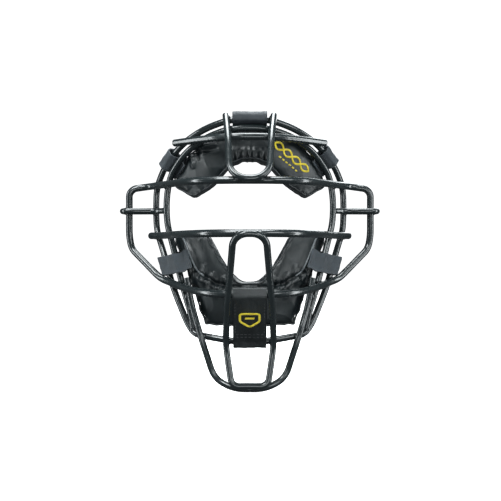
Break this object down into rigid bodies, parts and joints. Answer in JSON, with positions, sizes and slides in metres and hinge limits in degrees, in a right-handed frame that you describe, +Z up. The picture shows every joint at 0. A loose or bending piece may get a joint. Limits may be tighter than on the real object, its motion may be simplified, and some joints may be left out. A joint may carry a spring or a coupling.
{
  "type": "catchers mask",
  "caption": "Catcher's and umpire's face mask: a welded wire cage with side wings and a chin guard, leather brow and jaw pads, and wrap straps that fold open.",
  "frame": {"origin": "centre of the rear face opening, in the plane of the outer hoop's side rods", "axes": "+Z up, -Y out of the front of the mask, +Y towards the wearer, +X to the right seen from the front"},
  "size_m": [0.266, 0.1286, 0.2652],
  "materials": {
    "cage_coating": "satin black coating over steel rod",
    "pad_leather": "soft black leather with a low sheen",
    "strap_leather": "pebbled black leather",
    "tab_webbing": "matt charcoal coated cloth",
    "lining": "brushed charcoal lining",
    "foam": "closed-cell foam",
    "embroidery": "satin stitch",
    "pile": "hook and loop pile",
    "snap_metal": "black snap"
  },
  "bodies": {
    "root": {"brow_bar": "cage_coating", "brow_emblem": "embroidery", "brow_pad_cover": "pad_leather", "brow_pad_foam": "foam", "brow_pad_lining": "lining", "cheek_bar": "cage_coating", "chin_emblem": "embroidery", "chin_guard_rod": "cage_coating", "chin_loop": "cage_coating", "chin_strap_leaf": "strap_leather", "chin_strap_snap_stud": "snap_metal", "chin_welds": "cage_coating", "crown_strap_leaf": "strap_leather", "crown_strap_snap_stud": "snap_metal", "crown_welds": "cage_coating", "ear_loop_left": "cage_coating", "ear_loop_right": "cage_coating", "ear_welds": "cage_coating", "forehead_loop": "cage_coating", "inner_hoop": "cage_coating", "jaw_pad_cover": "pad_leather", "jaw_pad_foam": "foam", "jaw_pad_lining": "lining", "lower_left_tab_leaf": "tab_webbing", "lower_left_tab_loop_patch": "pile", "lower_right_tab_leaf": "tab_webbing", "lower_right_tab_loop_patch": "pile", "outer_hoop": "cage_coating", "side_welds": "cage_coating", "upper_left_tab_leaf": "tab_webbing", "upper_left_tab_loop_patch": "pile", "upper_right_tab_leaf": "tab_webbing", "upper_right_tab_loop_patch": "pile", "wing_loop": "cage_coating"},
    "upper_left_tab_flap": {"upper_left_tab_flap": "tab_webbing", "upper_left_tab_hook_patch": "pile"},
    "upper_right_tab_flap": {"upper_right_tab_flap": "tab_webbing", "upper_right_tab_hook_patch": "pile"},
    "lower_left_tab_flap": {"lower_left_tab_flap": "tab_webbing", "lower_left_tab_hook_patch": "pile"},
    "lower_right_tab_flap": {"lower_right_tab_flap": "tab_webbing", "lower_right_tab_hook_patch": "pile"},
    "crown_strap_flap": {"crown_strap_flap": "strap_leather", "crown_strap_snap_cap": "snap_metal"},
    "chin_strap_flap": {"chin_strap_flap": "strap_leather", "chin_strap_snap_cap": "snap_metal"}
  },
  "joints": [
    {"name": "upper_left_tab_fold", "type": "hinge", "parent": "root", "child": "upper_left_tab_flap", "pos_m": [-0.08213, -0.0186, 0.09492], "axis": [0.5347, -0.5737, 0.6205], "range_deg": [0, 105]},
    {"name": "upper_right_tab_fold", "type": "hinge", "parent": "root", "child": "upper_right_tab_flap", "pos_m": [0.07982, -0.02104, 0.09749], "axis": [0.5645, 0.5709, -0.5961], "range_deg": [0, 105]},
    {"name": "lower_left_tab_fold", "type": "hinge", "parent": "root", "child": "lower_left_tab_flap", "pos_m": [-0.08628, -0.01418, -0.01552], "axis": [-0.2747, 0.321, 0.9064], "range_deg": [0, 90]},
    {"name": "lower_right_tab_fold", "type": "hinge", "parent": "root", "child": "lower_right_tab_flap", "pos_m": [0.0864, -0.01403, -0.01511], "axis": [-0.2742, -0.3215, -0.9064], "range_deg": [0, 90]},
    {"name": "crown_strap_fold", "type": "hinge", "parent": "root", "child": "crown_strap_flap", "pos_m": [0, -0.05513, 0.1308], "axis": [1, 0, 0], "range_deg": [0, 105]},
    {"name": "chin_strap_fold", "type": "hinge", "parent": "root", "child": "chin_strap_flap", "pos_m": [0, -0.05553, -0.091], "axis": [-1, 0, 0], "range_deg": [0, 100]}
  ]
}
